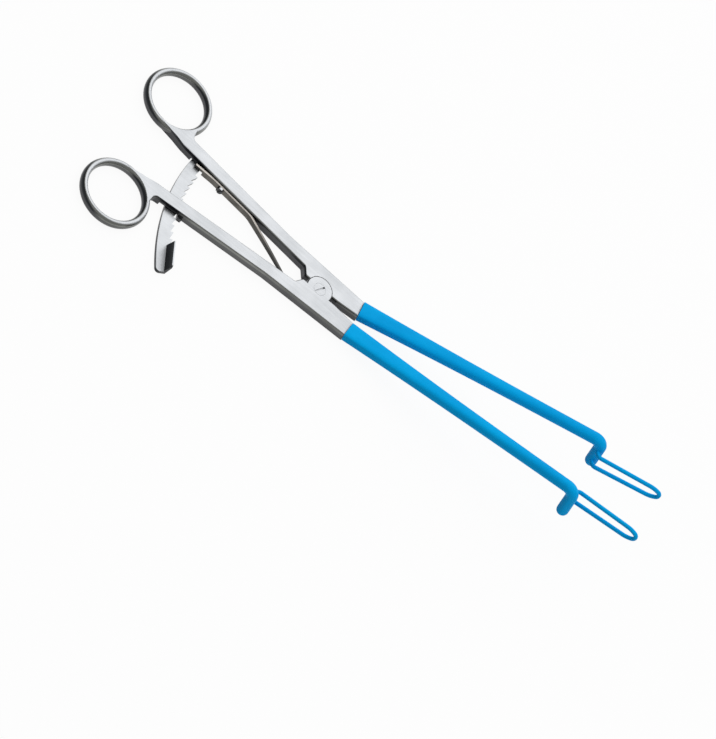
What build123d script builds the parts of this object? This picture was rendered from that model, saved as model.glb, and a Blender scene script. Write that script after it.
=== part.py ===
from build123d import *
from math import atan2, copysign, cos, degrees, hypot, radians, sin, tan
import os

# Ring-handled speculum with two arms that open when the handles are squeezed.
# Millimetres. +X runs to the blade tips, +Y to the upper arm, +Z up along the
# pivot screw. The origin is on the pivot axis, in the flat underside.

# Forging
thickness = 4.0
edge_round = 0.6

# Finger rings
ring_x = -82.1
ring_y = 26.3
ring_radius = 12.66
ring_section = 3.9
web_corner_radius = 1.6
web_hole_margin = 0.5
web_top_angle = -22.0
web_overlap = 2.0

# Handle shanks
shank_width = 5.4
shank_offset = 6.0
shank_splay = 6.0

# Lap joint
ear_radius = 5.1
ear_gap = 0.1
recess_clearance = 0.25
cheek_inner = 1.05
cheek_front = 8.0
cheek_back = 7.3
step_length = 2.1
cheek_round = 0.8
blend_radius = 20.0
joint_outer = 9.9
joint_splay = 2.6
neck_x = 15.5
neck_inner = 2.0
neck_relief_length = 4.5
neck_relief_height = 0.4

# Pivot screw
screw_radius = 1.6
screw_head_radius = 2.45
screw_head_height = 1.3
screw_clearance = 0.05
slot_width = 0.7
slot_depth = 0.7
slot_angle = 60.0
slot_overrun = 1.0

# Jaw rods, measured from the end of the neck
jaw_offset = 5.6
jaw_height = 2.1
jaw_splay = 4.5
jaw_rise = 12.8
jaw_length = 103.2
jaw_start_width = 7.1
jaw_start_height = 3.6
jaw_start_fullness = 5.0
jaw_middle_fullness = 2.5
jaw_end_diameter = 4.1
jaw_root_length = 1.3
elbow_radius = 3.5
foot_length = 12.0
coating_thickness = 0.32
coating_start = 1.85

# Wire blades
wire_diameter = 1.0
blade_inset = 4.27
blade_drop = 6.7
blade_root_half = 3.05
blade_mid_half = 2.55
blade_tip_half = 1.15
blade_length = 27.6
blade_tip_length = 2.9
blade_shoulder_radius = 8.0
blade_tip_radius = 1.75
wire_bend_radius = 2.3
wire_seat_depth = 0.9

# Ratchet rack: angles from +X about the pivot, and widths from the tooth tips
rack_thickness = 1.5
rack_lift = 0.15
rack_ring_distance = 21.9
rack_tooth_count = 11
rack_first_tooth = 175.0
rack_tooth_pitch = 2.95
rack_tooth_depth = 1.3
rack_root_width = 6.4
rack_middle_width = 5.5
rack_end_width = 7.2
rack_middle_angle = 190.0
rack_end_angle = 217.6
rack_end_depth = 3.0
rack_end_round = 1.6
rack_clearance = 0.3
catch_clearance = 0.15
rack_root_round = 0.8
swivel_room = 1.4
channel_reach = 10.0

# Finger tab at the end of the rack
tab_height = 4.3
tab_thickness = 1.4
tab_lean = 13.0
tab_round = 1.3

# Rack pin
pin_radius = 0.9
pin_depth_in_rack = 2.14
pin_offset = 0.993
pin_end_margin = 1.7
pin_head_radius = 1.5
pin_head_height = 0.5
pin_depth = 1.4
pin_clearance = 0.05

# Catch lug on the lower arm
lug_length = 2.9
lug_height = 0.9

# Leaf spring and its screw, with lengths from the rack's tooth tips
spring_thickness = 0.8
spring_bottom = 0.5
spring_top = 3.1
spring_rear_length = 3.2
spring_rear_lift = 0.9
spring_seat_length = 5.7
spring_screw_length = 9.6
spring_bend_length = 23.7
spring_notch_length = 0.7
spring_tip_x = -12.8
spring_gap = 0.05
spring_bend_radius = 9.0
spring_screw_radius = 0.6
spring_screw_depth = 2.6
spring_screw_head_radius = 1.35
spring_screw_head_height = 1.0
spring_screw_clearance = 0.1
spring_slot_width = 0.4
spring_slot_depth = 0.45

# Derived sizes
half = thickness / 2
ear_bottom = half + ear_gap / 2
ear_top = half - ear_gap / 2
shank_slope = tan(radians(shank_splay))
shank_cos = cos(radians(shank_splay))
rack_bottom = rack_lift
rack_top = rack_lift + rack_thickness
channel_top = rack_top + rack_clearance - catch_clearance / 2
rack_tip_radius = -ring_x - rack_ring_distance
rack_root_radius = rack_tip_radius + rack_tooth_depth
rack_back_radius = rack_tip_radius + rack_root_width
spring_rear_x = -rack_tip_radius - spring_rear_length
spring_seat_x = spring_seat_length - rack_tip_radius
spring_screw_x = spring_screw_length - rack_tip_radius
spring_bend_x = spring_bend_length - rack_tip_radius
spring_notch_x = spring_notch_length - rack_tip_radius


def polar(radius, angle):
    """Point at a radius and an angle in degrees about the pivot axis."""
    return (radius * cos(radians(angle)), radius * sin(radians(angle)))


def shank_y(x, outward=0.0):
    """Y of the upper shank's centreline at x, or of a line beside it."""
    return shank_offset - x * shank_slope + outward / shank_cos


def sided(points, side):
    """The same plan points on the upper (+1) or the lower (-1) arm."""
    return [(x, side * y) for x, y in points]


def nearest(shapes, point):
    """The shape of a list whose centre is nearest to a point."""
    return shapes.sort_by_distance(point)[0]


def jaw_plane(side):
    """X along the jaw rod, Y up, Z towards -Y, from the coating's start."""
    rise, splay = radians(jaw_rise), radians(side * jaw_splay)
    along = Vector(cos(rise) * cos(splay), cos(rise) * sin(splay), sin(rise))
    left = Vector(0, 0, 1).cross(along).normalized()
    return Plane(origin=(neck_x, side * jaw_offset, jaw_height), x_dir=along, z_dir=-left)


def across(frame, x, y=0.0, z=0.0):
    """Plane square to the jaw rod at a place in its frame."""
    return Plane(origin=frame.from_local_coords((x, y, z)), x_dir=-frame.z_dir, z_dir=frame.x_dir)


def oval(width, height, fullness):
    """Points round a section: fullness 2 gives an ellipse, more fills the corners."""
    turns = [radians(30 * step) for step in range(12)]
    power = 2 / fullness
    return [
        (
            copysign(abs(cos(turn)) ** power, cos(turn)) * width / 2,
            copysign(abs(sin(turn)) ** power, sin(turn)) * height / 2,
        )
        for turn in turns
    ]


pin_x = -rack_tip_radius - pin_depth_in_rack
pin_at = (pin_x, shank_y(pin_x, -pin_offset))
pin_orbit = hypot(*pin_at)
pin_angle = degrees(atan2(pin_at[1], pin_at[0]))
rack_root_angle = pin_angle - degrees(pin_end_margin / pin_orbit)
rack_last_angle = rack_first_tooth + rack_tooth_pitch * rack_tooth_count
spring_screw_seat = spring_thickness + 2 * spring_gap
spring_screw_plane = Plane(
    origin=(
        spring_screw_x,
        shank_y(spring_screw_x, -shank_width / 2),
        (spring_bottom + spring_top) / 2,
    ),
    x_dir=(shank_cos, -sin(radians(shank_splay)), 0),
    z_dir=(-sin(radians(shank_splay)), -shank_cos, 0),
)


def jaw_rod(side, grow):
    """Tapered rod, elbow and foot, grown by the coating's thickness."""
    frame = jaw_plane(side)
    end_radius = jaw_end_diameter / 2 + grow
    bend_x = jaw_length - elbow_radius
    middle_width = (jaw_start_width + 3 * jaw_end_diameter) / 4
    middle_height = (jaw_start_height + 3 * jaw_end_diameter) / 4
    sections = [
        (-jaw_root_length, jaw_start_width, jaw_start_height, jaw_start_fullness),
        ((bend_x - jaw_root_length) / 2, middle_width, middle_height, jaw_middle_fullness),
    ]
    with BuildPart() as rod:
        for place, width, height, fullness in sections:
            with BuildSketch(across(frame, place)):
                with BuildLine():
                    Spline(*oval(width + 2 * grow, height + 2 * grow, fullness), periodic=True)
                make_face()
        with BuildSketch(across(frame, bend_x)):
            Circle(end_radius)
        loft()
        with BuildLine(frame) as path:
            CenterArc((bend_x, -elbow_radius), elbow_radius, 90, -90)
            Line((jaw_length, -elbow_radius), (jaw_length, -foot_length))
        with BuildSketch(across(frame, bend_x)):
            Circle(end_radius)
        sweep(path=path.line)
        with Locations(frame.from_local_coords((jaw_length, -foot_length, 0))):
            Sphere(end_radius)
    return rod.part


def blade_wire(side, grow):
    """Wire loop that leaves the foot's inner side and turns forward."""
    frame = jaw_plane(side)
    radius = wire_diameter / 2 + grow
    blade = Plane(
        origin=frame.from_local_coords((jaw_length, -blade_drop, side * blade_inset)),
        x_dir=frame.x_dir,
        z_dir=frame.z_dir,
    )
    root = wire_bend_radius
    shoulder = blade_length - blade_tip_length
    outline = [
        (root, blade_root_half),
        (shoulder, blade_mid_half),
        (blade_length, blade_tip_half),
        (blade_length, -blade_tip_half),
        (shoulder, -blade_mid_half),
        (root, -blade_root_half),
    ]
    corners = [blade_shoulder_radius, blade_tip_radius, blade_tip_radius, blade_shoulder_radius]
    straight = blade_inset - wire_bend_radius - (jaw_end_diameter / 2 - wire_seat_depth)
    with BuildPart() as wire:
        with BuildLine(blade) as loop:
            FilletPolyline(*outline, radius=corners)
        with BuildSketch(Plane(origin=loop.line @ 0, z_dir=loop.line % 0)):
            Circle(radius)
        sweep(path=loop.line)
        for end, heading in ((loop.line @ 0, -(loop.line % 0)), (loop.line @ 1, loop.line % 1)):
            turn = Plane(origin=end, x_dir=heading, z_dir=heading.cross(-frame.z_dir * side))
            with BuildLine(turn) as bend:
                CenterArc((0, wire_bend_radius), wire_bend_radius, -90, 90)
                Line((wire_bend_radius, wire_bend_radius), (wire_bend_radius, wire_bend_radius + straight))
            with BuildSketch(Plane(origin=end, z_dir=heading)):
                Circle(radius)
            sweep(path=bend.line)
    return wire.part


def shank_blank(side):
    """Flat forging: handle shank, ring web, joint cheek and neck."""
    inner, outer = -shank_width / 2, shank_width / 2
    joint_slope = tan(radians(joint_splay))
    blend_x = (shank_y(0, outer) - joint_outer) / (shank_slope - joint_slope)
    web_x = ring_x + ring_radius
    web_top = polar(ring_radius, web_top_angle)
    step_x = -cheek_back - step_length
    corner = (web_x, shank_y(web_x, outer))
    points = [
        (ring_x - web_overlap, ring_y - ring_radius),
        (web_x, shank_y(web_x, inner)),
        (step_x, shank_y(step_x, inner)),
        (-cheek_back, cheek_inner),
        (cheek_front, cheek_inner),
        (neck_x, neck_inner),
        (neck_x, joint_outer - neck_x * joint_slope),
        (blend_x, joint_outer - blend_x * joint_slope),
        corner,
        (ring_x + web_top[0], ring_y + web_top[1]),
    ]
    with BuildPart() as blank:
        with BuildSketch() as plan:
            with BuildLine():
                Polyline(*sided(points, side), close=True)
            make_face()
            with Locations((ring_x, side * ring_y)):
                Circle(ring_radius - web_hole_margin, mode=Mode.SUBTRACT)
            fillet(nearest(plan.vertices(), (corner[0], side * corner[1], 0)), web_corner_radius)
            for x, y in ((step_x, shank_y(step_x, inner)), (-cheek_back, cheek_inner)):
                fillet(nearest(plan.vertices(), (x, side * y, 0)), cheek_round)
            fillet(nearest(plan.vertices(), (blend_x, side * shank_y(blend_x, outer), 0)), blend_radius)
        extrude(amount=thickness)
        long_edges = blank.edges().filter_by(Plane.XY).filter_by(lambda edge: edge.center().X > web_x)
        fillet(long_edges.filter_by(lambda edge: edge.center().X < neck_x - edge_round), edge_round)
        with BuildSketch(Plane.XZ) as relief:
            with BuildLine():
                Polyline(
                    (neck_x - neck_relief_length, 0),
                    (neck_x, 0),
                    (neck_x, neck_relief_height),
                    close=True,
                )
            make_face()
        extrude(amount=2 * joint_outer, both=True, mode=Mode.SUBTRACT)
    return blank.part


def forged_arm(side):
    """One arm: ring, shank, ear, jaw rod and foot, with the recess for the other ear."""
    blank = shank_blank(side)
    rod = jaw_rod(side, 0)
    wire = blade_wire(side, 0)
    ear_level, recess_level = (0, ear_top) if side > 0 else (ear_bottom, 0)
    with BuildPart() as arm:
        add(blank)
        with BuildSketch(Plane.XY.offset(recess_level)):
            Circle(ear_radius + recess_clearance)
        extrude(amount=ear_bottom, mode=Mode.SUBTRACT)
        with BuildSketch(Plane.XY.offset(ear_level)):
            Circle(ear_radius)
        extrude(amount=ear_top)
        with Locations((ring_x, side * ring_y, half)):
            Torus(ring_radius, ring_section / 2)
        add(rod)
        add(wire, mode=Mode.SUBTRACT)
    return arm.part


def coating(side, arm, wire):
    """Dipped skin over the jaw rod, elbow, foot and blade wire."""
    with BuildPart() as skin:
        add(jaw_rod(side, coating_thickness))
        add(blade_wire(side, coating_thickness))
        add(arm, mode=Mode.SUBTRACT)
        add(wire, mode=Mode.SUBTRACT)
        split(bisect_by=across(jaw_plane(side), coating_start), keep=Keep.TOP)
    return skin.part


def band(front, back, start, end):
    """Sector about the pivot between two radii and two angles."""
    with BuildSketch() as sector:
        with BuildLine():
            low = CenterArc((0, 0), front, start, end - start)
            high = CenterArc((0, 0), back, start, end - start)
            Line(low @ 0, high @ 0)
            Line(low @ 1, high @ 1)
        make_face()
    return sector.sketch


# Lower arm: ear in the top half, with the screw's seat, the rack's channel and the catch
lower_forging = forged_arm(-1)
catch_radius = rack_tip_radius - catch_clearance
channel_back = rack_back_radius + rack_clearance + swivel_room
crossing = 360 - pin_angle
channel = band(catch_radius, channel_back, crossing - channel_reach, crossing + channel_reach)
lug_x, lug_y = polar(catch_radius, crossing)
with BuildPart() as lower_arm:
    add(lower_forging)
    with BuildSketch() as lug:
        with Locations(Location((lug_x, -shank_y(lug_x, shank_width / 2), 0), shank_splay)):
            Rectangle(2 * lug_length, 2 * lug_height)
    extrude(amount=rack_top)
    with BuildSketch():
        add(channel)
    extrude(amount=channel_top, mode=Mode.SUBTRACT)
    with Locations((0, 0, thickness)):
        CounterBoreHole(
            screw_radius + screw_clearance,
            screw_head_radius + screw_clearance,
            screw_head_height + screw_clearance,
        )
lower_arm.part.label = "lower_arm"

# Upper arm: ear in the bottom half, threaded for the screw, with the rack's pocket and pin hole
upper_forging = forged_arm(1)
pocket_end = rack_root_angle - degrees(rack_clearance / pin_orbit)
pocket_front = rack_root_radius - rack_clearance
pocket_back = rack_back_radius + rack_clearance
pocket = band(pocket_front, pocket_back, pocket_end, rack_first_tooth)
with BuildPart() as upper_arm:
    add(upper_forging)
    with BuildSketch():
        add(pocket)
    extrude(amount=channel_top, mode=Mode.SUBTRACT)
    with Locations((0, 0, half)):
        Hole(screw_radius)
    with BuildSketch(Plane.XY.offset(channel_top)):
        with Locations(pin_at):
            Circle(pin_radius)
    extrude(amount=pin_depth, mode=Mode.SUBTRACT)
    with BuildSketch(spring_screw_plane):
        Circle(spring_screw_radius)
    extrude(amount=-spring_screw_depth, mode=Mode.SUBTRACT)
upper_arm.part.label = "upper_arm"

# Pivot screw: slotted head flush in the lower arm's ear, thread in the upper arm's ear
with BuildPart() as pivot_screw:
    with BuildSketch():
        Circle(screw_radius)
    extrude(amount=thickness - screw_head_height)
    with BuildSketch(Plane.XY.offset(thickness - screw_head_height)):
        Circle(screw_head_radius)
    extrude(amount=screw_head_height)
    with BuildSketch(Plane.XY.offset(thickness)):
        Rectangle(2 * screw_head_radius + slot_overrun, slot_width, rotation=slot_angle)
    extrude(amount=-slot_depth, mode=Mode.SUBTRACT)
pivot_screw.part.label = "pivot_screw"

# Ratchet rack: saw teeth on the pivot side, finger tab turned up at the free end
rack_back = [
    polar(rack_back_radius, rack_root_angle),
    polar(rack_tip_radius + rack_middle_width, rack_middle_angle),
    polar(rack_tip_radius + rack_end_width, rack_end_angle),
]
rack_front = [polar(rack_root_radius, rack_root_angle)]
for tooth in range(rack_tooth_count):
    tooth_angle = rack_first_tooth + tooth * rack_tooth_pitch
    rack_front += [polar(rack_root_radius, tooth_angle), polar(rack_tip_radius, tooth_angle)]
tab_start = Vector(*polar(rack_root_radius, rack_last_angle))
tab_end = Vector(*polar(rack_tip_radius + rack_end_depth, rack_end_angle))
tab_along = (tab_end - tab_start).normalized()
tab_out = tab_along.cross(Vector(0, 0, -1))
tab_plane = Plane(origin=tab_start + Vector(0, 0, rack_bottom), x_dir=tab_out, z_dir=tab_along)
tab_rise = rack_thickness + tab_height
tab_shift = tab_rise * tan(radians(tab_lean))
tab_length = (tab_end - tab_start).length
with BuildPart() as ratchet_rack:
    with BuildSketch(Plane.XY.offset(rack_bottom)) as plate:
        with BuildLine():
            back_edge = ThreePointArc(*rack_back)
            front_edge = Polyline(*rack_front, tab_start, tab_end)
            Line(back_edge @ 1, front_edge @ 1)
            Line(back_edge @ 0, front_edge @ 0)
        make_face()
        fillet(nearest(plate.vertices(), (*rack_back[2], 0)), rack_end_round)
        fillet(nearest(plate.vertices(), (*rack_back[0], 0)), rack_root_round)
        fillet(nearest(plate.vertices(), (*rack_front[0], 0)), rack_root_round)
    extrude(amount=rack_thickness)
    with BuildSketch(tab_plane):
        with BuildLine():
            Polyline(
                (-tab_thickness, 0),
                (0, 0),
                (tab_shift, tab_rise),
                (tab_shift - tab_thickness, tab_rise),
                close=True,
            )
        make_face()
    extrude(amount=tab_length)
    tab_corner = tab_plane.from_local_coords((tab_shift - tab_thickness / 2, tab_rise, tab_length))
    fillet(nearest(ratchet_rack.edges(), tab_corner), tab_round)
    with Locations((*pin_at, rack_bottom)):
        with Locations(Rotation(180, 0, 0)):
            CounterBoreHole(
                pin_radius + pin_clearance,
                pin_head_radius + pin_clearance,
                pin_head_height,
            )
ratchet_rack.part.label = "ratchet_rack"

# Rack pin: rivet that the rack swings on, its shank pressed into the upper arm
with BuildPart() as rack_pin:
    with BuildSketch(Plane.XY.offset(rack_bottom - pin_clearance)):
        with Locations(pin_at):
            Circle(pin_head_radius)
    extrude(amount=pin_head_height)
    with BuildSketch(Plane.XY.offset(rack_bottom - pin_clearance + pin_head_height)):
        with Locations(pin_at):
            Circle(pin_radius)
    extrude(amount=channel_top + pin_depth - (rack_bottom - pin_clearance + pin_head_height))
rack_pin.part.label = "rack_pin"

# Leaf spring: strip on edge along the upper arm, its free end against the lower arm
spring_offset = spring_thickness / 2 + spring_gap
spring_path = [
    (spring_rear_x, shank_y(spring_rear_x, -shank_width / 2) - spring_offset - spring_rear_lift),
    (spring_seat_x, shank_y(spring_seat_x, -shank_width / 2) - spring_offset),
    (spring_bend_x, shank_y(spring_bend_x, -shank_width / 2) - spring_offset),
    (spring_tip_x, spring_offset - shank_y(spring_tip_x, -shank_width / 2)),
]
with BuildPart() as leaf_spring:
    with BuildSketch(Plane.XY.offset(spring_bottom)):
        with BuildLine() as strip:
            FilletPolyline(*spring_path, radius=spring_bend_radius)
        trace(line_width=spring_thickness)
    extrude(amount=spring_top - spring_bottom)
    with BuildSketch(Plane.XY.offset(spring_bottom)):
        with Locations((spring_rear_x, shank_y(spring_rear_x, -shank_width / 2))):
            Rectangle(2 * (spring_notch_x - spring_rear_x), 2 * shank_width)
    extrude(amount=channel_top - spring_bottom, mode=Mode.SUBTRACT)
    with BuildSketch(spring_screw_plane):
        Circle(spring_screw_radius + spring_screw_clearance)
    extrude(amount=spring_screw_seat, mode=Mode.SUBTRACT)
leaf_spring.part.label = "leaf_spring"

# Spring screw: cheese head on the strip, shank threaded into the upper arm
with BuildPart() as spring_screw:
    with BuildSketch(spring_screw_plane):
        Circle(spring_screw_radius)
    extrude(amount=spring_screw_seat)
    with BuildSketch(spring_screw_plane):
        Circle(spring_screw_radius)
    extrude(amount=-spring_screw_depth)
    with BuildSketch(spring_screw_plane.offset(spring_screw_seat)):
        Circle(spring_screw_head_radius)
    extrude(amount=spring_screw_head_height)
    with BuildSketch(spring_screw_plane.offset(spring_screw_seat + spring_screw_head_height)):
        Rectangle(2 * spring_screw_head_radius + slot_overrun, spring_slot_width, rotation=slot_angle)
    extrude(amount=-spring_slot_depth, mode=Mode.SUBTRACT)
spring_screw.part.label = "spring_screw"

# Blade wires: set into the feet
with BuildPart() as lower_blade_wire:
    add(blade_wire(-1, 0))
lower_blade_wire.part.label = "lower_blade_wire"
with BuildPart() as upper_blade_wire:
    add(blade_wire(1, 0))
upper_blade_wire.part.label = "upper_blade_wire"

# Jaw coatings
with BuildPart() as lower_jaw_coating:
    add(coating(-1, lower_forging, lower_blade_wire.part))
lower_jaw_coating.part.label = "lower_jaw_coating"
with BuildPart() as upper_jaw_coating:
    add(coating(1, upper_forging, upper_blade_wire.part))
upper_jaw_coating.part.label = "upper_jaw_coating"

os.makedirs("parts", exist_ok=True)
export_step(lower_arm.part, "parts/lower_arm.step")
export_step(upper_arm.part, "parts/upper_arm.step")
export_step(pivot_screw.part, "parts/pivot_screw.step")
export_step(ratchet_rack.part, "parts/ratchet_rack.step")
export_step(rack_pin.part, "parts/rack_pin.step")
export_step(leaf_spring.part, "parts/leaf_spring.step")
export_step(spring_screw.part, "parts/spring_screw.step")
export_step(lower_blade_wire.part, "parts/lower_blade_wire.step")
export_step(upper_blade_wire.part, "parts/upper_blade_wire.step")
export_step(lower_jaw_coating.part, "parts/lower_jaw_coating.step")
export_step(upper_jaw_coating.part, "parts/upper_jaw_coating.step")
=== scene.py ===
import math

import bmesh
import bpy
from mathutils import Matrix, Vector


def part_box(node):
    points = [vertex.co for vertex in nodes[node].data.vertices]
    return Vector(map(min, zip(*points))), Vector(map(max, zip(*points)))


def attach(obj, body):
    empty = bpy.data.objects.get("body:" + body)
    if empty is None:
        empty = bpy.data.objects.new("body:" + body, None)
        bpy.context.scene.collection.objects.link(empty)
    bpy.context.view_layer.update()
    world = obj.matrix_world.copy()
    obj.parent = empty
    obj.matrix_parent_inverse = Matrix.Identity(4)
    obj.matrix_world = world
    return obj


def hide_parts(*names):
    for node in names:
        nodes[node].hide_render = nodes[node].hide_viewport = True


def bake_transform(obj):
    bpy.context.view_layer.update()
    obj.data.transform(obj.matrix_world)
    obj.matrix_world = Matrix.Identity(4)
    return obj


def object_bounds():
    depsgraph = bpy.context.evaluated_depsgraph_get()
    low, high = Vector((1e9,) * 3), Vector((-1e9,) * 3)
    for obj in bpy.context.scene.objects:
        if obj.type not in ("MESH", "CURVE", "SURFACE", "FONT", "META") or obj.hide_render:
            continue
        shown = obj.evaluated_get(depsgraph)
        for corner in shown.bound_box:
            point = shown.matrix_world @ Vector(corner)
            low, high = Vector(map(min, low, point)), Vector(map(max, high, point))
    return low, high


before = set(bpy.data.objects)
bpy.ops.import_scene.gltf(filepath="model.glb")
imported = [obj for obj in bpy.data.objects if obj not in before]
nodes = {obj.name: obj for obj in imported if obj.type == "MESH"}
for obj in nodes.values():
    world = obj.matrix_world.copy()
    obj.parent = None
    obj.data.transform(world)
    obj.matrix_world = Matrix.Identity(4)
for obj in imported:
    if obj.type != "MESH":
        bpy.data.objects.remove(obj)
cad_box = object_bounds()
scene = bpy.context.scene

# Places and lengths are in metres. Where a comment says "of the part", they repeat the part.

# Leaf spring of the part: its bend and tip, how much height the tip loses and how far it moves
SPRING_BEND = Vector((-0.0365, 0.0067, 0.0))
SPRING_TIP = Vector((-0.0128, -0.0042, 0.0))
SPRING_TAPER = 0.55
SPRING_DRAWN = Vector((-0.0015, -0.00013, 0.0))
SPRING_STEP = 0.0008
WELD_DISTANCE = 1e-6
CREASE_ANGLE = math.radians(35)
OPEN_EDGE_ANGLE = 3.1

# Finger rings of the part, the share of the tube's width that is kept, the shift of the ring
# and the distance past the tube over which both fade
RING_CENTRE = (-0.0821, 0.0263)
RING_RADIUS = 0.01266
RING_TUBE = 0.00195
RING_KEPT = 0.72
RING_SHIFT = Vector((0.00035, 0.00019, 0.0))
RING_FADE = 0.006

# Neck of the part, stretched from NECK_START so that its end at NECK_X comes to a plane across
# the jaw, NECK_REACH past NECK_POINT and just behind the coating
NECK_START = 0.0125
NECK_X = 0.0155
NECK_POINT = Vector((0.0155, 0.0056, 0.0021))
NECK_REACH = 0.00173
JAW_SPLAY = math.radians(4.5)
JAW_RISE = math.radians(12.8)
FORGING_TOP = 0.004

# Finger tab of the rack: a point of its near top edge, its outward side, half its thickness,
# its bottom and top, a height above the rack's plate, and what the top loses in thickness
TAB_POINT = Vector((-0.05463, -0.02837, 0.0))
TAB_OUT = Vector((0.914, 0.407, 0.0))
TAB_MIDDLE = 0.0007
TAB_BOTTOM = 0.00015
TAB_TOP = 0.00595
TAB_UPPER = 0.003
TAB_THINNED = 0.0009

# Radius of the gap round the ear, half its width, and radius of the screw's hole, where walls get painted
# light
EAR_SEAT = 0.00522
EAR_SEAT_HALF = 0.0003
SCREW_HOLE = 0.0027

# Heights between which the floors of recesses lie, which get painted shade
RECESS_LEVELS = (0.0002, 0.0027)
RECESS_SHADE_SHARE = 0.75

# Gaps narrower than this get painted shade, from the first share of open sky to the second
GAP_WIDTH = 0.006
GAP_OPENNESS = (0.15, 0.75)
GAP_SAMPLES = 6

# Upright axes round which walls get painted shade, standing in for reflections of other dark walls, and
# how far that painted shade reaches
PIVOT = (0.0, 0.0)
PIVOT_SHADE = 0.018
RACK_CROSSINGS = ((-0.066, 0.0105), (-0.063, -0.0150))
RACK_SHADE = 0.011
RACK_SHADE_FULL = 0.3

# Sides towards which the steel and the coating get painted light and painted shade
LIT_SIDE = (0.28, 0.35, 0.0)
SHADE_SIDE = (-0.88, -0.48, 0.0)
UP = (0.0, 0.0, 1.0)

# Directions of the brushed lines, as turns about Z
SHANK_TURN = math.radians(6.0)
RACK_TURN = math.radians(78.0)
SCREW_TURN = math.radians(60.0)

# Tones of the steel: flat faces and walls by piece, the walls darker as painted shade and the pivot
# screw's walls pale as painted light, then what is laid over them: painted shade, painted light at the
# ear's seat, clouds and lines
FLAT = (0.585, 0.60, 0.62, 1.0)
WALL_SHADE = (0.235, 0.24, 0.225, 1.0)
RACK_WALL_SHADE = (0.07, 0.072, 0.075, 1.0)
PIVOT_WALL_LIGHT = (0.60, 0.61, 0.62, 1.0)
SCREW_FLAT = (0.62, 0.63, 0.65, 1.0)
SCREW_WALL_SHADE = (0.20, 0.20, 0.20, 1.0)
WIRE_FLAT = (0.55, 0.56, 0.58, 1.0)
WIRE_WALL_SHADE = (0.45, 0.46, 0.48, 1.0)
SHADED_WALL = (0.037, 0.040, 0.043, 1.0)
DEEP_WALL_SHADE = (0.010, 0.011, 0.013, 1.0)
RECESS_SHADE = (0.10, 0.10, 0.105, 1.0)
SEAT_LIGHT = (0.50, 0.51, 0.52, 1.0)
GAP_SHADE = (0.02, 0.02, 0.022, 1.0)
CLOUD_TINT = (0.60, 0.62, 0.62, 1.0)
LINE_TINT = (0.55, 0.56, 0.58, 1.0)
WALL_ROUGH = 0.26

# Tones of the spring: the darker and paler of its sides, in painted shade, then of its edges, pale as a
# painted highlight, and the darker tone towards its tip
SPRING_SIDES_SHADE = ((0.085, 0.081, 0.074, 1.0), (0.145, 0.137, 0.124, 1.0))
SPRING_EDGE_HIGHLIGHT = ((0.40, 0.37, 0.34, 1.0), (0.52, 0.49, 0.455, 1.0))
SPRING_DARK_TIP = (0.042, 0.043, 0.041, 1.0)
DARK_BEFORE_TIP = 0.010
TIP_DARK_SHARE = 0.9

# Coating, as 8-bit display colours; the low tone is painted shade on its walls, the shaded tone painted
# shade on its side away from the light
COATING_SAGS = ((0, 166, 236), (0, 177, 245))
COATING_CLOUDS = (0, 164, 226)
COATING_WALL_SHADE = (0, 153, 215)
COATING_SHADED = (0, 116, 165)

# Floor and light
WHITE = (1.0, 1.0, 1.0, 1.0)
PAPER = (0.90, 0.90, 0.90, 1.0)
FLOOR_SIZE = 6.0
FLOOR_GAP = 0.00005
FLOOR_GLOW = 0.93
SKY_STRENGTH = 0.52

# Camera: direction towards it, its up vector, its distance and where it aims
CAMERA_BACK = Vector((-0.1477, -0.6459, 0.7490)).normalized()
CAMERA_UP = Vector((-0.6368, 0.6415, 0.4276)).normalized()
CAMERA_DISTANCE = 1.8868
CAMERA_LENS = 251.8
CAMERA_SENSOR = 36.0
CAMERA_CLIP = 20.0
AIM_RIGHT = 0.01593
AIM_DOWN = 0.02755


def srgb(levels):
    """Linear colour of an 8-bit display colour."""
    values = []
    for level in levels:
        share = level / 255
        values.append(share / 12.92 if share <= 0.04045 else ((share + 0.055) / 1.055) ** 2.4)
    return (*values, 1.0)


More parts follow.
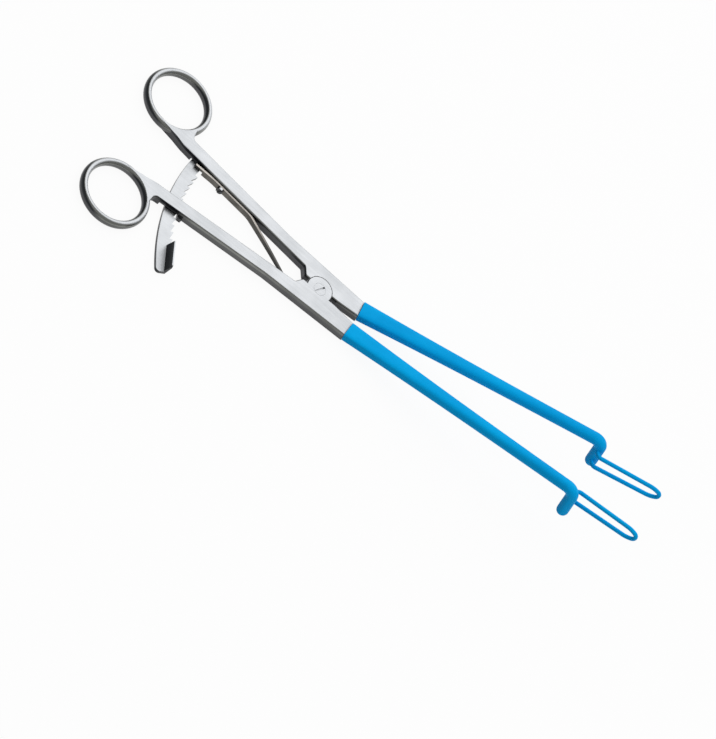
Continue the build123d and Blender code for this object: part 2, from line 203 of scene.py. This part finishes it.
class Graph:
    """Short calls for building a node material."""

    def __init__(self, name, kind="ShaderNodeBsdfPrincipled"):
        self.material = bpy.data.materials.new(name)
        self.material.use_nodes = True
        self.tree = self.material.node_tree
        self.tree.nodes.clear()
        self.shader = self.node(kind)
        output = self.node("ShaderNodeOutputMaterial")
        self.link(self.shader.outputs[0], output.inputs["Surface"])

    def node(self, kind, **settings):
        made = self.tree.nodes.new(kind)
        for key, value in settings.items():
            setattr(made, key, value)
        return made

    def link(self, source, target):
        self.tree.links.new(source, target)

    def put(self, target, value):
        """Links a socket or sets a plain value."""
        if isinstance(value, bpy.types.NodeSocket):
            self.link(value, target)
        else:
            target.default_value = value

    def surface(self, name):
        """Object coordinates or the normal, both in the object's own space."""
        return self.node("ShaderNodeTexCoord").outputs[name]

    def along(self, axis):
        """Object coordinate along one axis."""
        parts = self.node("ShaderNodeSeparateXYZ")
        self.link(self.surface("Object"), parts.inputs["Vector"])
        return parts.outputs[axis]

    def vector(self, operation, first, second=(0.0, 0.0, 0.0), result="Vector"):
        made = self.node("ShaderNodeVectorMath", operation=operation)
        self.put(made.inputs[0], first)
        self.put(made.inputs[1], second)
        return made.outputs[result]

    def math(self, operation, first, second=0.0):
        made = self.node("ShaderNodeMath", operation=operation)
        self.put(made.inputs[0], first)
        self.put(made.inputs[1], second)
        return made.outputs["Value"]

    def ramp(self, value, given, wanted, smooth=False):
        """Maps one range onto another, and holds the ends."""
        made = self.node("ShaderNodeMapRange", clamp=True)
        if smooth:
            made.interpolation_type = "SMOOTHSTEP"
        self.put(made.inputs["Value"], value)
        for socket, level in zip(("From Min", "From Max", "To Min", "To Max"), (*given, *wanted)):
            made.inputs[socket].default_value = level
        return made.outputs["Result"]

    def mix(self, share, first, second, blend="MIX"):
        made = self.node("ShaderNodeMix", data_type="RGBA", blend_type=blend)
        self.put(made.inputs["Factor"], share)
        self.put(made.inputs["A"], first)
        self.put(made.inputs["B"], second)
        return made.outputs["Result"]

    def noise(self, scale, detail=3.0, rough=0.55, stretch=(1, 1, 1), turn=0.0):
        """Noise over object coordinates, which are turned about Z and then stretched."""
        mapping = self.node("ShaderNodeMapping")
        mapping.inputs["Rotation"].default_value = (0, 0, turn)
        mapping.inputs["Scale"].default_value = stretch
        self.link(self.surface("Object"), mapping.inputs["Vector"])
        made = self.node("ShaderNodeTexNoise")
        self.link(mapping.outputs["Vector"], made.inputs["Vector"])
        made.inputs["Scale"].default_value = scale
        made.inputs["Detail"].default_value = detail
        made.inputs["Roughness"].default_value = rough
        return made.outputs["Fac"]

    def bump(self, height, strength, distance, under=None):
        made = self.node("ShaderNodeBump")
        made.inputs["Strength"].default_value = strength
        made.inputs["Distance"].default_value = distance
        self.put(made.inputs["Height"], height)
        if under is not None:
            self.link(under, made.inputs["Normal"])
        return made.outputs["Normal"]

    def facing(self, direction):
        """How far the surface's own normal turns to a direction."""
        return self.vector("DOT_PRODUCT", self.surface("Normal"), direction, "Value")

    def upward(self, low, high, lean=(0.0, 0.0, 0.0)):
        """0 on walls and 1 on faces that look up or down; lean favours one side."""
        size = self.math("ABSOLUTE", self.facing(UP))
        size = self.math("ADD", size, self.facing(lean))
        return self.ramp(size, (low, high), (0.0, 1.0), smooth=True)

    def between(self, low, high):
        """1 between two heights above the underside, 0 outside them."""
        height = self.along("Z")
        above = self.math("GREATER_THAN", height, low)
        return self.math("MULTIPLY", above, self.math("LESS_THAN", height, high))

    def around(self, centre, radius, half_width, full=0.8):
        """1 close to a cylinder round an upright axis, 0 away from it."""
        moved = self.vector("SUBTRACT", self.surface("Object"), (*centre, 0.0))
        flat = self.vector("MULTIPLY", moved, (1.0, 1.0, 0.0))
        length = self.vector("LENGTH", flat, result="Value")
        away = self.math("ABSOLUTE", self.math("SUBTRACT", length, radius))
        return self.ramp(away, (half_width * full, half_width), (1.0, 0.0))

    def enclosed(self, shade_depth):
        """Share of painted shade: 0 in the open, and up to the given depth in gaps and corners."""
        made = self.node("ShaderNodeAmbientOcclusion", samples=GAP_SAMPLES)
        made.inputs["Distance"].default_value = GAP_WIDTH
        return self.math("SUBTRACT", 1.0, self.ramp(made.outputs["AO"], GAP_OPENNESS, (1.0 - shade_depth, 1.0)))


def steel(name, turn, flat, wall, arm=False, shade_depth=0.75, flat_rough=0.40):
    """Satin steel: brushed flats with fine lines along the piece, and polished walls darkened with
    painted shade.
    """
    g = Graph(name)
    flatness = g.upward(0.64, 1.0, LIT_SIDE)
    lines = g.noise(1.0, detail=4.0, rough=0.65, stretch=(60, 2600, 900), turn=turn)
    clouds = g.noise(95.0)
    specks = g.noise(2400.0, detail=2.0)

    # Painted shade on walls that face away from the light
    shaded = g.ramp(g.facing(SHADE_SIDE), (0.38, 0.62), (0.0, 1.0))
    wall = g.mix(shaded, wall, SHADED_WALL)
    if arm:
        # Deeper painted shade on walls near the pivot and where the rack crosses
        near_shade = g.math("MULTIPLY", shaded, g.around(PIVOT, 0.0, PIVOT_SHADE))
        for place in RACK_CROSSINGS:
            near_shade = g.math("MAXIMUM", near_shade, g.around(place, 0.0, RACK_SHADE, RACK_SHADE_FULL))
        wall = g.mix(near_shade, wall, DEEP_WALL_SHADE)

    # Walls darker than the flat faces: painted shade
    tone = g.mix(flatness, wall, flat)
    # Painted shade in gaps and corners
    gaps = g.enclosed(shade_depth)
    if arm:
        # Painted shade on the floors of recesses
        recess_shade = g.math("MULTIPLY", g.between(*RECESS_LEVELS), RECESS_SHADE_SHARE)
        tone = g.mix(recess_shade, tone, RECESS_SHADE)
        # Painted light on the walls of the ear's seat and the screw's hole, with less painted shade in
        # their gaps
        seat_light = g.around(PIVOT, EAR_SEAT, EAR_SEAT_HALF)
        seat_light = g.math("MAXIMUM", seat_light, g.around(PIVOT, 0.0, SCREW_HOLE))
        seat_light = g.math("MULTIPLY", seat_light, g.math("SUBTRACT", 1.0, flatness))
        tone = g.mix(seat_light, tone, SEAT_LIGHT)
        gaps = g.math("MULTIPLY", gaps, g.ramp(seat_light, (0.0, 1.0), (1.0, 0.2)))
    tone = g.mix(gaps, tone, GAP_SHADE)
    tone = g.mix(g.ramp(clouds, (0.35, 0.65), (0.0, 0.22)), tone, CLOUD_TINT, "MULTIPLY")
    tone = g.mix(g.ramp(lines, (0.30, 0.70), (0.0, 0.16)), tone, LINE_TINT, "MULTIPLY")
    g.link(tone, g.shader.inputs["Base Color"])
    g.shader.inputs["Metallic"].default_value = 1.0

    rough = g.ramp(flatness, (0.0, 1.0), (WALL_ROUGH, flat_rough))
    rough = g.math("ADD", rough, g.ramp(lines, (0.25, 0.75), (-0.05, 0.07)))
    rough = g.math("ADD", rough, g.ramp(clouds, (0.3, 0.7), (-0.03, 0.04)))
    g.link(rough, g.shader.inputs["Roughness"])
    fine = g.bump(specks, 0.10, 0.00002)
    g.link(g.bump(lines, 0.16, 0.00003, fine), g.shader.inputs["Normal"])
    return g.material


def insulation(name):
    """Dipped blue coating: even, semi-gloss, with slight sags and fine orange peel, and painted shade on
    its walls and on its side away from the light.
    """
    g = Graph(name)
    sags = g.noise(120.0, detail=2.0, stretch=(0.35, 1, 1))
    clouds = g.noise(420.0)
    peel = g.noise(1900.0, detail=2.0)
    tone = g.mix(g.ramp(sags, (0.35, 0.65), (0.0, 1.0)), *[srgb(levels) for levels in COATING_SAGS])
    tone = g.mix(g.ramp(clouds, (0.45, 0.75), (0.0, 0.25)), tone, srgb(COATING_CLOUDS))
    # Painted shade on the coating's walls and on its side away from the light
    tone = g.mix(g.upward(-0.25, 0.70, LIT_SIDE), srgb(COATING_WALL_SHADE), tone)
    shaded = g.ramp(g.facing(SHADE_SIDE), (0.35, 0.95), (0.0, 0.8))
    tone = g.mix(shaded, tone, srgb(COATING_SHADED))
    g.link(tone, g.shader.inputs["Base Color"])
    g.link(g.ramp(clouds, (0.3, 0.7), (0.42, 0.54)), g.shader.inputs["Roughness"])
    g.shader.inputs["IOR"].default_value = 1.48
    g.shader.inputs["Specular IOR Level"].default_value = 0.04
    fine = g.bump(peel, 0.12, 0.00003)
    g.link(g.bump(sags, 0.18, 0.00012, fine), g.shader.inputs["Normal"])
    return g.material


def tempered(name):
    """Bronze-grey spring steel, with painted shade on its sides, a painted highlight on its edges that
    face up or down, and darker towards the tip.
    """
    g = Graph(name)
    flatness = g.upward(0.45, 0.95)
    lines = g.noise(1.0, detail=4.0, rough=0.6, stretch=(40, 3000, 2200))
    clouds = g.noise(260.0)
    # Painted shade on the spring's sides and a painted highlight on its edges that face up or down
    shaded_sides = g.mix(g.ramp(clouds, (0.35, 0.65), (0.0, 1.0)), *SPRING_SIDES_SHADE)
    edge = g.mix(g.ramp(lines, (0.3, 0.7), (0.0, 1.0)), *SPRING_EDGE_HIGHLIGHT)
    # The free part darkens towards the tip
    free_part = (SPRING_BEND.x, SPRING_TIP.x - DARK_BEFORE_TIP)
    darkening = g.ramp(g.along("X"), free_part, (0.0, TIP_DARK_SHARE))
    tone = g.mix(darkening, g.mix(flatness, shaded_sides, edge), SPRING_DARK_TIP)
    g.link(tone, g.shader.inputs["Base Color"])
    g.shader.inputs["Metallic"].default_value = 1.0
    g.link(g.ramp(clouds, (0.3, 0.7), (0.30, 0.44)), g.shader.inputs["Roughness"])
    g.link(g.bump(lines, 0.20, 0.00002), g.shader.inputs["Normal"])
    return g.material


def paper():
    """Matt pale floor that the camera and mirror-like faces see as white, less its shadows."""
    g = Graph("paper", "ShaderNodeMixShader")
    matt = g.node("ShaderNodeBsdfDiffuse")
    matt.inputs["Color"].default_value = PAPER
    glow = g.node("ShaderNodeEmission")
    glow.inputs["Color"].default_value = WHITE
    glow.inputs["Strength"].default_value = 1.0
    rays = g.node("ShaderNodeLightPath")
    seen = g.math("MAXIMUM", rays.outputs["Is Camera Ray"], rays.outputs["Is Glossy Ray"])
    seen = g.math("MAXIMUM", seen, rays.outputs["Is Transmission Ray"])
    g.link(g.math("MULTIPLY", seen, FLOOR_GLOW), g.shader.inputs["Fac"])
    g.link(matt.outputs["BSDF"], g.shader.inputs[1])
    g.link(glow.outputs["Emission"], g.shader.inputs[2])
    return g.material


def finish_with(objects, material):
    for o in objects:
        o.data.materials.clear()
        o.data.materials.append(material)


def added(name, data):
    """New object in the scene."""
    made = bpy.data.objects.new(name, data)
    scene.collection.objects.link(made)
    return made


def stand_in(piece, node, body, finish):
    """Puts a rigid copy in the place of a steel node, with the same finish on both."""
    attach(piece, body)
    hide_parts(node)
    finish_with([piece, nodes[node]], finish)


def thin_tab(node, name, body, finish):
    """Copy of the rack whose finger tab tapers towards its top edge."""
    piece = added(name, nodes[node].data.copy())
    for vertex in piece.data.vertices:
        if vertex.co.z > TAB_UPPER and (vertex.co - TAB_POINT).dot(TAB_OUT) > TAB_MIDDLE:
            share = (vertex.co.z - TAB_BOTTOM) / (TAB_TOP - TAB_BOTTOM)
            vertex.co -= TAB_OUT * (TAB_THINNED * share)
    stand_in(piece, node, body, finish)


def forging(node, name, body, side, finish):
    """Copy of an arm with a slimmer ring, and with its neck drawn up to the coating."""
    piece = added(name, nodes[node].data.copy())
    centre = Vector((RING_CENTRE[0], side * RING_CENTRE[1], 0.0))
    point = Vector((NECK_POINT.x, side * NECK_POINT.y, NECK_POINT.z))
    level_run = math.cos(JAW_RISE)
    splay_run = side * level_run * math.sin(JAW_SPLAY)
    along = Vector((level_run * math.cos(JAW_SPLAY), splay_run, math.sin(JAW_RISE)))
    for vertex in piece.data.vertices:
        radial = vertex.co - centre
        radial.z = 0.0
        off = radial.length - RING_RADIUS
        fade = min(max(1 - (off - RING_TUBE) / RING_FADE, 0.0), 1.0)
        inward = min(max(off, -RING_TUBE), RING_TUBE) * (1 - RING_KEPT)
        vertex.co += (RING_SHIFT - radial.normalized() * inward) * fade
        short = NECK_REACH - (vertex.co - point).dot(along)
        if vertex.co.x > NECK_START and short > 0.0:
            share = min((vertex.co.x - NECK_START) / (NECK_X - NECK_START), 1.0)
            vertex.co.x = NECK_START + (vertex.co.x + short / along.x - NECK_START) * share
            vertex.co.z = min(vertex.co.z, FORGING_TOP)
    stand_in(piece, node, body, finish)


def strip_piece(node, name):
    """Copy of the spring in short lengths, with its free part tapered and its tip drawn back a little."""
    low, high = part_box(node)
    piece = added(name, nodes[node].data.copy())
    cut = bmesh.new()
    cut.from_mesh(piece.data)
    bmesh.ops.remove_doubles(cut, verts=cut.verts, dist=WELD_DISTANCE)
    x = low.x + SPRING_STEP
    while x < high.x - SPRING_STEP / 2:
        whole = cut.verts[:] + cut.edges[:] + cut.faces[:]
        bmesh.ops.bisect_plane(cut, geom=whole, plane_co=(x, 0, 0), plane_no=(1, 0, 0))
        x += SPRING_STEP
    middle = (low.z + high.z) / 2
    for vertex in cut.verts:
        share = (vertex.co.x - SPRING_BEND.x) / (SPRING_TIP.x - SPRING_BEND.x)
        share = min(max(share, 0.0), 1.0)
        vertex.co.z = middle + (vertex.co.z - middle) * (1 - SPRING_TAPER * share)
        vertex.co += SPRING_DRAWN * share * share
    for edge in cut.edges:
        edge.smooth = edge.calc_face_angle(OPEN_EDGE_ANGLE) < CREASE_ANGLE
    for face in cut.faces:
        face.smooth = True
    cut.to_mesh(piece.data)
    cut.free()
    return piece


def softbox(name, towards, distance, size, power):
    """Square lamp in a direction from the origin, facing it."""
    lamp = bpy.data.lights.new(name, "AREA")
    lamp.shape = "SQUARE"
    lamp.size = size
    lamp.energy = power
    holder = added(name, lamp)
    direction = Vector(towards).normalized()
    holder.location = direction * distance
    holder.rotation_mode = "QUATERNION"
    holder.rotation_quaternion = direction.to_track_quat("Z", "Y")


# Pieces and their finishes
upper_finish = steel("upper_steel", SHANK_TURN, FLAT, WALL_SHADE, arm=True)
lower_finish = steel("lower_steel", -SHANK_TURN, FLAT, WALL_SHADE, arm=True)
rack_finish = steel("rack_steel", RACK_TURN, FLAT, RACK_WALL_SHADE, flat_rough=0.36)
# The pivot screw's walls are pale as painted light, without painted shade in gaps
pivot_finish = steel("pivot_steel", SCREW_TURN, FLAT, PIVOT_WALL_LIGHT, shade_depth=0.0)
screw_finish = steel("screw_steel", SCREW_TURN, SCREW_FLAT, SCREW_WALL_SHADE, flat_rough=0.34)
wire_finish = steel("wire_steel", 0.0, WIRE_FLAT, WIRE_WALL_SHADE, flat_rough=0.34)
finish_with([nodes["pivot_screw"]], pivot_finish)
finish_with([nodes["spring_screw"], nodes["rack_pin"]], screw_finish)
finish_with([nodes["lower_blade_wire"], nodes["upper_blade_wire"]], wire_finish)
finish_with([nodes["lower_jaw_coating"], nodes["upper_jaw_coating"]], insulation("blue_insulation"))

thin_tab("ratchet_rack", "tapered_rack", "rack", rack_finish)
forging("upper_arm", "upper_forging", "upper_half", 1, upper_finish)
forging("lower_arm", "lower_forging", "lower_half", -1, lower_finish)
spring = strip_piece("leaf_spring", "spring_strip")
finish_with([spring, nodes["leaf_spring"]], tempered("spring_bronze"))
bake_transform(spring)
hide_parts("leaf_spring")

# Floor and light
floor_mesh = bpy.data.meshes.new("floor")
half = FLOOR_SIZE / 2
level = cad_box[0].z - FLOOR_GAP
corners = [(-half, -half, level), (half, -half, level), (half, half, level), (-half, half, level)]
floor_mesh.from_pydata(corners, [], [(0, 1, 2, 3)])
floor_mesh.materials.append(paper())
floor = added("floor", floor_mesh)

softbox("key", (0.12, 0.60, 0.80), distance=2.0, size=3.0, power=27.0)
softbox("fill", (-0.55, -0.75, 0.80), distance=2.4, size=1.5, power=3.5)
world = bpy.data.worlds.new("studio")
world.use_nodes = True
sky = world.node_tree.nodes["Background"]
sky.inputs["Color"].default_value = WHITE
sky.inputs["Strength"].default_value = SKY_STRENGTH
scene.world = world
scene.view_settings.view_transform = "Standard"

# Camera
lens = bpy.data.cameras.new("view")
lens.lens = CAMERA_LENS
lens.sensor_width = CAMERA_SENSOR
lens.clip_end = CAMERA_CLIP
camera = added("view", lens)
right = CAMERA_UP.cross(CAMERA_BACK).normalized()
up = CAMERA_BACK.cross(right).normalized()
camera.location = CAMERA_BACK * CAMERA_DISTANCE
target = right * AIM_RIGHT - up * AIM_DOWN
away = (camera.location - target).normalized()
across = up.cross(away).normalized()
above = away.cross(across).normalized()
camera.rotation_mode = "QUATERNION"
camera.rotation_quaternion = Matrix((across, above, away)).transposed().to_quaternion()
scene.camera = camera
